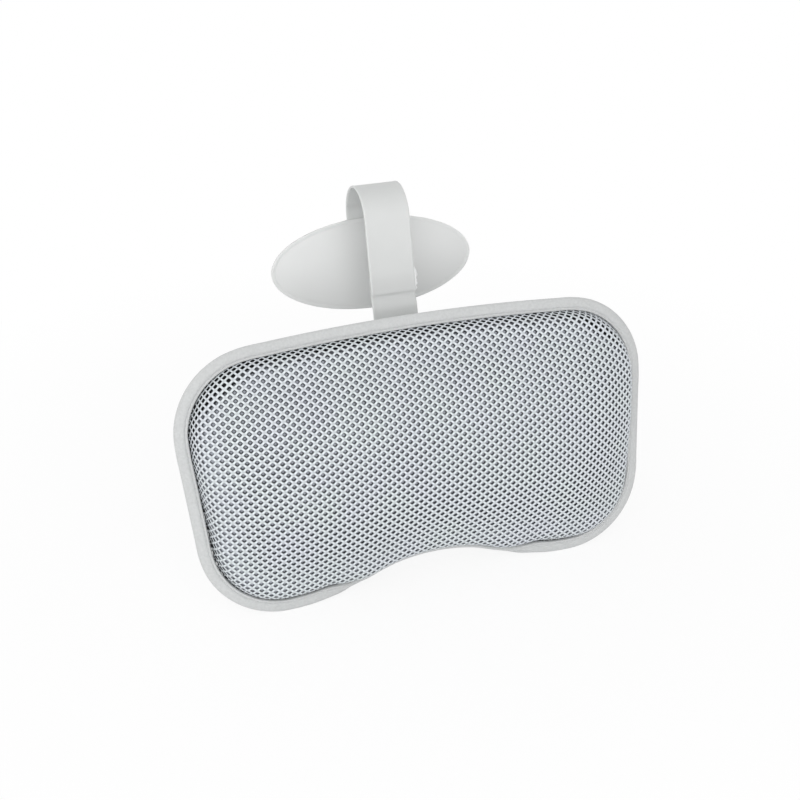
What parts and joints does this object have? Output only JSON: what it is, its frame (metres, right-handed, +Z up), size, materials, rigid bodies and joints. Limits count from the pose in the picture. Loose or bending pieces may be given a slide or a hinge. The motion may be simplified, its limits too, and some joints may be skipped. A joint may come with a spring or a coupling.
{
  "type": "bath pillow",
  "caption": "Kidney-shaped bath pillow with a crowned mesh front, bound edge and flat back, and a strap that arches over the bath rim to a weighted oval paddle.",
  "frame": {"origin": "middle of the flat back of the pillow, where it lies against the sloping end of a bath", "axes": "+X along the pillow's width, +Z up, +Y to the back; the pillow leans back 15.5 degrees from upright"},
  "size_m": [0.3394, 0.1609, 0.2525],
  "materials": {
    "spacer_mesh": "white open spacer mesh, matte",
    "filling": "bluish white fibre filling, matte",
    "back_cloth": "pale grey woven cloth, matte",
    "binding_tape": "pale grey folded tape, soft sheen",
    "strap_sheet": "pale grey soft plastic sheet, satin",
    "weight_steel": "grey coated plate, hidden in the paddle"
  },
  "bodies": {
    "pillow": {"front_mesh": "spacer_mesh", "filling_core": "filling", "back_panel": "back_cloth", "edge_binding": "binding_tape", "strap_tab": "strap_sheet"},
    "front_leg": {"strap_front": "strap_sheet"},
    "rear_arch": {"strap_rear": "strap_sheet"},
    "paddle": {"paddle_back": "strap_sheet", "paddle_front": "strap_sheet", "counterweight": "weight_steel"}
  },
  "joints": [
    {"name": "tab_fold", "type": "hinge", "parent": "pillow", "child": "front_leg", "pos_m": [0, 0.0278, 0.09632], "axis": [1, 0, 0], "range_deg": [-40, 75], "stiffness_Nm_per_rad": 1.2},
    {"name": "arch_flex", "type": "hinge", "parent": "front_leg", "child": "rear_arch", "pos_m": [0, 0.07172, 0.16137], "axis": [1, 0, 0], "range_deg": [-6, 90], "stiffness_Nm_per_rad": 0.6},
    {"name": "paddle_fold", "type": "hinge", "parent": "rear_arch", "child": "paddle", "pos_m": [0, 0.08589, 0.13366], "axis": [1, 0, 0], "range_deg": [-20, 90], "stiffness_Nm_per_rad": 0.3}
  ]
}
